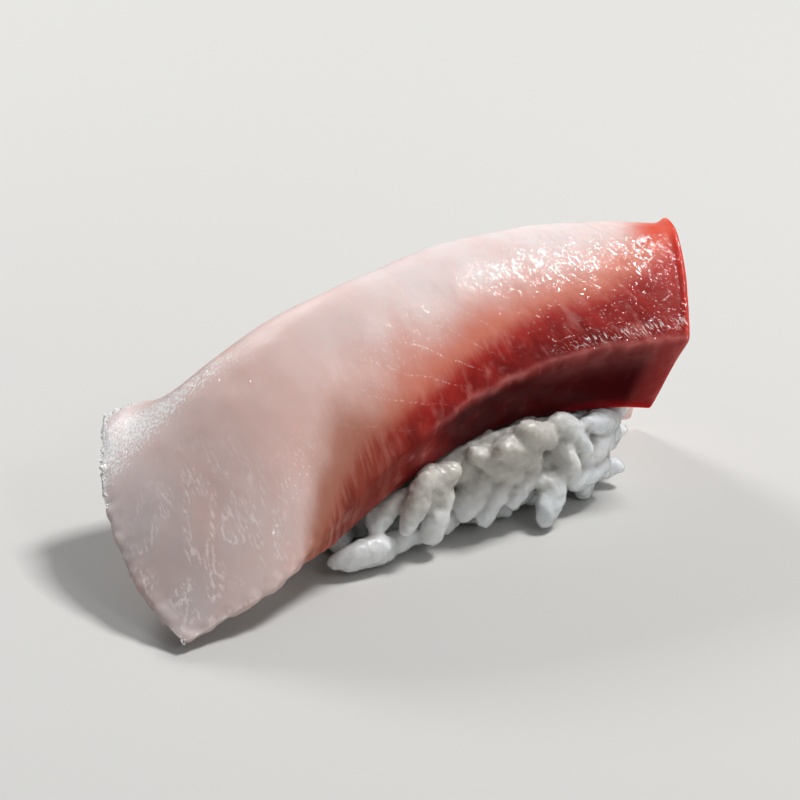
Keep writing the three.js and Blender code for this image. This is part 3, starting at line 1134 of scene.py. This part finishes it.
@dataclass
class RiceHeap:
    """The pressed heap: real grains over its whole outline, stuck to each other and to a smaller core."""

    shift: Array
    grain_length: float = 7.0
    grain_girth: float = 3.1
    spacing: float = 3.05
    tries: int = 6000
    laid_gap: float = 1.9
    tilt: float = 0.25
    closeness: float = 0.86
    stick_out: float = 0.35
    deepest: float = 1.3
    rings: int = 18
    sides: int = 22
    seed: int = 17
    settle_rounds: int = 50
    undercut_height: float = 3.6
    undercut_depth: float = 2.6
    fuse_size: float = 0.24
    fuse_rounds: int = 3
    join_rounds: int = 28
    melt_rounds: int = 40
    core_share: Point = (0.92, 0.82, 0.9)
    core_shift: Point = (0.0, 0.6, 0.6)
    laid: tuple[LaidGrain, ...] = (
        LaidGrain((-12.3, -6.6, 2.2), (-4.6, -6.6, 2.0), 3.4),
        LaidGrain((-7.2, -5.6, 1.6), (-1.0, -5.6, 2.2), 2.7),
        LaidGrain((-4.4, -7.6, 3.3), (-0.6, -6.4, 9.0), 3.0),
        LaidGrain((-1.6, -6.2, 5.0), (2.8, -5.4, 8.8), 3.2),
        LaidGrain((-1.6, -7.2, 1.3), (1.5, -6.4, 6.6), 2.9),
        LaidGrain((-7.2, -5.0, 3.4), (-2.4, -4.8, 6.8), 2.7),
        LaidGrain((-2.7, -6.0, 4.2), (0.8, -5.6, 9.2), 3.6),
        LaidGrain((15.4, -4.4, 4.4), (19.8, -3.4, 8.8), 4.2),
        LaidGrain((2.9, -6.2, 2.3), (6.3, -5.8, 7.0), 3.1),
        LaidGrain((4.9, -6.8, 1.7), (8.6, -5.8, 6.0), 3.0),
        LaidGrain((8.6, -6.2, 2.5), (12.4, -5.5, 6.8), 3.1),
        LaidGrain((10.9, -4.6, 1.7), (13.6, -4.8, 4.6), 2.5),
        LaidGrain((11.4, -8.6, 0.6), (15.3, -6.4, 5.4), 3.1),
        LaidGrain((11.6, -6.4, 4.1), (17.4, -6.0, 4.3), 2.8),
        LaidGrain((16.0, -6.0, 3.2), (21.9, -5.0, 4.2), 3.2),
        LaidGrain((21.9, -4.4, 2.0), (21.6, -3.4, 8.4), 2.7),
        LaidGrain((19.2, -3.0, 8.6), (26.0, -2.8, 7.6), 2.3),
        LaidGrain((2.6, -4.6, 6.2), (9.0, -3.8, 9.2), 4.0),
        LaidGrain((7.6, -4.7, 6.8), (14.2, -3.4, 9.4), 4.2),
        LaidGrain((12.6, -4.9, 5.4), (20.0, -3.4, 7.8), 4.4),
        LaidGrain((6.0, -4.4, 3.6), (12.0, -4.2, 4.6), 4.0),
        LaidGrain((-2.4, -4.0, 3.6), (3.4, -4.0, 5.2), 3.8),
    )

    def build(self, finish: bpy.types.Material) -> bpy.types.Object:
        """Builds and dresses the heap.

        Args:
            finish: the material of steamed rice.

        Returns:
            The piece.
        """
        solid = self._solid()
        rng = np.random.default_rng(self.seed)
        middles, ways, girths, lengths = self._lay_out(solid, rng)
        grains = [self._grain_shape(lengths[k], girths[k], rng) @ self._turn(ways[k], rng) + middles[k]
                  for k in range(len(middles))]
        piece = self._fuse(grains, middles, solid, rng)
        piece.data.materials.append(finish)
        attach(piece, BODY)
        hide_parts("rice_block")
        log.info("%s: %d grains, %d faces", piece.name, len(grains), len(piece.data.polygons))
        return piece

    def _solid(self) -> tuple[Array, Array]:
        """The CAD block's points, mm, and triangles."""
        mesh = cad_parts["rice_block"].data
        points = np.array([v.co for v in mesh.vertices]) / MM
        mesh.calc_loop_triangles()
        return points, np.array([tri.vertices for tri in mesh.loop_triangles])

    def _fuse(self, grains: list[Array], middles: Array, solid: tuple[Array, Array],
              rng: np.random.Generator) -> bpy.types.Object:
        """Sticks the grains to each other and to the core, with soft joins.

        Args:
            grains: the points of each grain.
            middles: the middle of each.
            solid: the CAD block's points and triangles, which the core is drawn in from.
            rng: the seeded source of chance.

        Returns:
            The heap as one closed mesh.
        """
        core, core_faces = self._core(solid)
        base = self._grain_faces()
        faces = [base + k * len(grains[0]) for k in range(len(grains))]
        faces.append(core_faces + sum(len(grain) for grain in grains))
        rough = make_mesh("rough_heap", np.concatenate([*grains, core]), np.concatenate(faces))
        fuse = rough.modifiers.new("fuse", "REMESH")
        fuse.mode = "VOXEL"
        fuse.voxel_size = self.fuse_size * MM
        fused = rough.evaluated_get(bpy.context.evaluated_depsgraph_get()).to_mesh()
        points = np.empty(len(fused.vertices) * 3, np.float32)
        fused.vertices.foreach_get("co", points)
        quads = np.empty(len(fused.loops), np.int32)
        fused.loops.foreach_get("vertex_index", quads)
        points, quads = outer_shell(points.reshape(-1, 3) / MM, quads.reshape(-1, 4))
        rough.to_mesh_clear()
        bpy.data.objects.remove(rough)
        points = relax(points.astype(float), quads, self.fuse_rounds, 0.5)
        join = relax(points, quads, self.join_rounds, 0.5)
        melted = relax(join, quads, self.melt_rounds, 0.5)
        share = self._melt(points)
        points = points * (1 - share[:, None]) + melted * share[:, None]
        piece = make_mesh("rice_heap", points, quads)
        normals = np.empty(len(points) * 3, np.float32)
        piece.data.vertices.foreach_get("normal", normals)
        normals = normals.reshape(-1, 3)
        proud = ((points - join) * normals).sum(axis=1)
        lumps = 0.16 * unevenness(points, 1.1, 11.0) + 0.11 * unevenness(points, 0.55, 12.0)
        points = points + normals * lumps[:, None]
        points[:, 2] = np.maximum(points[:, 2], 0.0)
        piece.data.vertices.foreach_set("co", (points * MM).astype(np.float32).ravel())
        store(piece, "proud", proud)
        x, _, z = (points - self.shift).T
        to_right = soft_step(x, 12.0, 21.0)
        store(piece, "shaded", (1 - to_right) * (0.3 + 0.7 * soft_step(z, 3.0, 7.0)))
        tones = rng.uniform(0, 1, len(middles))
        nearest = np.concatenate([np.linalg.norm(part[:, None] - middles[None], axis=2).argmin(axis=1)
                                  for part in np.array_split(points, 60)])
        store(piece, "grain_place", points)
        store(piece, "tone", tones[nearest])
        return piece

    def _melt(self, points: Array) -> Array:
        """How far the grains have run together: mostly under the slice, and hardly at the right end."""
        x, _, z = (points - self.shift).T
        patches = 0.75 + 0.5 * unevenness(points, 4.0, 13.0)
        melt = 0.35 * soft_step(z, 3.4, 7.0) * patches * (1 - 0.75 * soft_step(x, 15.0, 20.0))
        return np.clip(melt, 0, 1)

    def _core(self, solid: tuple[Array, Array]) -> tuple[Array, Array]:
        """The block's own points drawn in under the grains, and its triangles."""
        points, triangles = solid
        low, high = points.min(axis=0), points.max(axis=0)
        middle = np.array([(low[0] + high[0]) / 2, (low[1] + high[1]) / 2, low[2]])
        share = np.tile(self.core_share, (len(points), 1))
        share[:, :2] *= 1 - 0.16 * (1 - soft_step(points[:, 2:], 0.5, 5.0))
        return (points - middle) * share + middle + np.array(self.core_shift), triangles

    def _lay_out(self, solid: tuple[Array, Array],
                 rng: np.random.Generator) -> tuple[Array, Array, Array, Array]:
        """Places every grain: those listed, and the rest settled over the block's outline.

        Args:
            solid: the CAD block's points and triangles.
            rng: the seeded source of chance.

        Returns:
            Middles, directions, girths and lengths of the grains, the listed ones first.
        """
        starts = np.array([grain.start for grain in self.laid]) + self.shift
        ends = np.array([grain.end for grain in self.laid]) + self.shift
        laid = (starts + ends) / 2
        seats, outward = self._seats(solid, rng)
        radius = self.grain_girth / 2
        sunk = seats - outward * (radius - 0.1)
        low_front = (outward[:, 1] < -0.4) & (seats[:, 2] < self.undercut_height)
        sunk[low_front, 1] += self.undercut_depth
        sunk -= outward * rng.uniform(0.0, 0.9, (len(sunk), 1))
        gap = np.linalg.norm(sunk[:, None] - laid[None], axis=2).min(axis=1)
        sunk, outward = sunk[gap > self.laid_gap], outward[gap > self.laid_gap]
        ways = np.cross(outward, unit(rng.normal(size=outward.shape)))
        ways = unit(ways + self.tilt * rng.normal(size=sunk.shape))
        lengths = self.grain_length * rng.uniform(0.86, 1.1, len(sunk))
        girths = self.grain_girth * rng.uniform(0.9, 1.1, len(sunk))
        sunk, ways = self._settle(solid, sunk, ways, lengths, girths, (starts, ends))
        return (
            np.concatenate([laid, sunk]),
            np.concatenate([unit(ends - starts), ways]),
            np.concatenate([[grain.girth for grain in self.laid], girths]),
            np.concatenate([np.linalg.norm(ends - starts, axis=1), lengths]),
        )

    def _seats(self, solid: tuple[Array, Array], rng: np.random.Generator) -> tuple[Array, Array]:
        """Evenly scattered points on the block's outline, apart from its base, and the way out there."""
        points, triangles = solid
        corner = points[triangles]
        flat = np.cross(corner[:, 1] - corner[:, 0], corner[:, 2] - corner[:, 0])
        area = np.linalg.norm(flat, axis=1)
        outward = flat / area[:, None]
        area = np.where(outward[:, 2] < -0.8, 0.0, area)
        pick = rng.choice(len(triangles), self.tries, p=area / area.sum())
        a, b = rng.uniform(size=(2, self.tries))
        over = a + b > 1
        a, b = np.where(over, 1 - a, a), np.where(over, 1 - b, b)
        spots = corner[pick, 0] + a[:, None] * (corner[pick, 1] - corner[pick, 0])
        spots = spots + b[:, None] * (corner[pick, 2] - corner[pick, 0])
        kept: list[int] = []
        for k in range(len(spots)):
            if not kept or np.linalg.norm(spots[kept] - spots[k], axis=1).min() > self.spacing:
                kept.append(k)
        return spots[kept], outward[pick[kept]]

    def _settle(self, solid: tuple[Array, Array], middles: Array, ways: Array, lengths: Array,
                girths: Array, laid: tuple[Array, Array]) -> tuple[Array, Array]:
        """Pushes overlapping grains apart while they stay against the block's outline and off the floor.

        Args:
            solid: the CAD block's points and triangles.
            middles: the grains' middles.
            ways: their directions.
            lengths: their lengths.
            girths: their girths.
            laid: the starts and ends of the listed grains, which stay where they are.

        Returns:
            The settled middles and directions.
        """
        outline = BVHTree.FromPolygons([tuple(p) for p in solid[0]], [tuple(tri) for tri in solid[1]])
        beads = np.array([-1.0, 0.0, 1.0])
        half = (lengths - girths) / 2
        fixed = np.concatenate([laid[0] * (1 - f) + laid[1] * f for f in (0.2, 0.5, 0.8)])
        fixed_girth = np.tile([grain.girth for grain in self.laid], 3)
        owner = np.concatenate([np.repeat(np.arange(len(middles)), 3), np.full(len(fixed), -1)])
        girth = np.concatenate([np.repeat(girths, 3), fixed_girth])
        moving = len(middles) * 3
        for _ in range(self.settle_rounds):
            spots = middles[:, None] + ways[:, None] * (beads[None, :, None] * half[:, None, None])
            spots = np.concatenate([spots.reshape(-1, 3), fixed])
            apart = spots[:moving, None] - spots[None]
            far = np.linalg.norm(apart, axis=2) + 1e-9
            wanted = (girth[:moving, None] + girth[None]) / 2 * self.closeness
            push = np.where(owner[:moving, None] == owner[None], 0, np.maximum(wanted - far, 0))
            spots[:moving] += (apart / far[..., None] * push[..., None]).sum(axis=1) * 0.3
            for k in range(moving):
                spots[k] = self._held_inside(outline, spots[k], girth[k] / 2)
            trio = spots[:moving].reshape(-1, 3, 3)
            middles = trio.mean(axis=1)
            ways = unit(trio[:, 2] - trio[:, 0])
        return middles, ways

    def _held_inside(self, outline: BVHTree, spot: Array, radius: float) -> Array:
        """Brings one bead back under the outline and above the floor."""
        near, way, _, _ = outline.find_nearest(Vector(spot))
        near, way = np.array(near), np.array(way)
        depth = -float((spot - near) @ way)
        proud = self.stick_out if way[2] < 0.3 else 0.0
        missing = (radius - proud) - depth
        if missing > 0:
            spot = spot - way * missing * 0.6
        elif missing < -self.deepest:
            spot = spot + way * min(-missing - self.deepest, 1.0) * 0.15
        return np.array([spot[0], spot[1], max(spot[2], radius * 0.92)])

    def _grain_faces(self) -> Array:
        """The triangles of one grain: bands between its rings, and a fan at each end."""
        rows = []
        last = self.rings * self.sides
        start, end = last + self.sides, last + self.sides + 1
        for j in range(self.sides):
            k = (j + 1) % self.sides
            rows += [(start, k, j), (end, last + j, last + k)]
            for i in range(self.rings):
                a, b = i * self.sides + j, i * self.sides + k
                rows += [(a, b, b + self.sides), (a, b + self.sides, a + self.sides)]
        return np.array(rows)

    def _grain_shape(self, length: float, girth: float, rng: np.random.Generator) -> Array:
        """One grain lying along X: plump and bent, with a groove, soft lumps and ends that split.

        Args:
            length: its length, mm.
            girth: its width, mm.
            rng: the seeded source of chance.

        Returns:
            Its points, ring by ring.
        """
        angle = np.linspace(0.2, math.pi - 0.2, self.rings + 1)[:, None]
        round_ = np.linspace(0, 2 * math.pi, self.sides, endpoint=False)[None, :]
        x = -np.cos(angle) * np.ones_like(round_) * length / 2
        swell = np.sin(angle) ** rng.uniform(0.62, 0.86)
        swell = swell * (1 + 0.16 * np.cos(angle) * rng.uniform(-1, 1))
        swell = swell * (1 - 0.13 * hump(round_, math.pi, 0.5) * np.sin(angle))
        y = swell * np.cos(round_) * girth / 2
        z = swell * np.sin(round_) * girth / 2 * rng.uniform(0.8, 0.95)
        y = y + rng.uniform(-1.1, 1.1) * (x / length) ** 2 * girth
        shape = np.stack([x.ravel(), y.ravel(), z.ravel()], axis=1)
        tips = np.array([[-length / 2, 0, 0], [length / 2, 0, 0]])
        tips[:, 1] = [shape[:self.sides, 1].mean(), shape[-self.sides:, 1].mean()]
        shape = np.concatenate([shape, tips])
        seed = rng.uniform(0, 90)
        at_ends = soft_step(np.abs(shape[:, 0]) / length * 2, 0.55, 1.0)
        lump = 0.26 * unevenness(shape, 2.1, seed)
        lump = lump + (0.07 + 0.2 * at_ends) * unevenness(shape, 0.8, seed + 1)
        return shape + unit(shape * np.array([0.4, 1, 1])) * lump[:, None]

    def _turn(self, way: Array, rng: np.random.Generator) -> Array:
        """Rows that turn a grain from lying along X to lying along its way, rolled by chance."""
        side = unit(np.cross(way, unit(rng.normal(size=3))))
        return np.stack([way, side, np.cross(way, side)])


# ---------- the studio ----------


@dataclass(frozen=True)
class SoftBox:
    """A square soft light: where it stands round the food, how far off, how wide, how strong, and if it
    shows in wet surfaces."""

    name: str
    azimuth: float
    elevation: float
    distance: float
    width: float
    power: float
    shines: bool = True

    def build(self, aim: Vector) -> bpy.types.Object:
        """Makes the light, turned to the point that it lights."""
        a, e = math.radians(self.azimuth), math.radians(self.elevation)
        away = Vector((math.sin(a) * math.cos(e), -math.cos(a) * math.cos(e), math.sin(e)))
        lamp = bpy.data.lights.new(self.name, "AREA")
        lamp.size = self.width
        lamp.energy = self.power
        stand = bpy.data.objects.new(self.name, lamp)
        stand.visible_glossy = self.shines
        stand.location = aim + away * self.distance
        stand.rotation_euler = (-away).to_track_quat("-Z", "Y").to_euler()
        bpy.context.scene.collection.objects.link(stand)
        return stand


@dataclass
class Studio:
    """A pale sweep, soft lights and the camera at the photograph's viewing angle."""

    camera_place: Point = (-166.6, -256.6, 143.9)
    camera_aim: Point = (18.0, 27.7, 0.0)
    lens: float = 150.9
    sensor: float = 36.0
    lights: tuple[SoftBox, ...] = (
        SoftBox("key_softbox", 84, 60, 0.6, 0.14, 3.1),
        SoftBox("back_softbox", 174, 30, 0.6, 0.12, 1.35),
        SoftBox("front_softbox", 22, 38, 0.9, 0.6, 0.3, shines=False),
        SoftBox("glint_softbox", 4, 34, 0.7, 0.085, 0.32),
        SoftBox("low_softbox", 30, 10, 0.8, 0.5, 0.25, shines=False),
    )
    light_aim: Point = (0.0, 0.0, 0.012)
    air: str = "#f2f4f7"
    ambient: float = 0.2
    sweep_half: float = 3000.0

    def build(self, shift: Array) -> None:
        """Sets up the floor, the lights, the ambient light and the camera.

        Args:
            shift: the move from the drawing frame to the row frame, mm.
        """
        self._build_floor()
        for light in self.lights:
            light.build(Vector(self.light_aim))
        world = bpy.data.worlds.new("studio_air")
        world.use_nodes = True
        background = world.node_tree.nodes["Background"]
        background.inputs["Color"].default_value = linear(self.air)
        background.inputs["Strength"].default_value = self.ambient
        world.cycles_visibility.glossy = False
        bpy.context.scene.world = world
        bpy.context.scene.view_settings.view_transform = "Standard"
        self._build_camera(shift)

    def _build_floor(self) -> None:
        """Lays the sweep paper."""
        corners = np.array([[-1, -1, 0], [1, -1, 0], [1, 1, 0], [-1, 1, 0]]) * self.sweep_half
        floor = make_mesh("sweep", corners, np.array([[0, 1, 2, 3]]))
        floor.data.materials.append(SweepPaper().build())
        floor.visible_glossy = False

    def _build_camera(self, shift: Array) -> None:
        """Places the camera where the photograph was taken from."""
        place = Vector((np.array(self.camera_place) + shift) * MM)
        aim = Vector((np.array(self.camera_aim) + shift) * MM)
        eye = bpy.data.cameras.new("camera")
        eye.lens = self.lens
        eye.sensor_width = self.sensor
        eye.clip_start = 0.01
        eye.clip_end = 20
        stand = bpy.data.objects.new("camera", eye)
        stand.location = place
        stand.rotation_euler = (aim - place).to_track_quat("-Z", "Y").to_euler()
        bpy.context.scene.collection.objects.link(stand)
        bpy.context.scene.camera = stand


def main() -> None:
    """Builds the slice, the rice and the studio."""
    logging.basicConfig(level=logging.INFO, format="%(name)s: %(message)s")
    fish = FishSlice()
    fish.build(RawYellowtail(Face.CUT).build(), RawYellowtail(Face.SKIN_SIDE).build())
    FrostCrumbs(fish.form, fish.shift).build(Rime().build())
    RiceHeap(shift=fish.shift).build(SteamedRice().build())
    Studio().build(fish.shift)


if __name__ == "__main__":
    main()
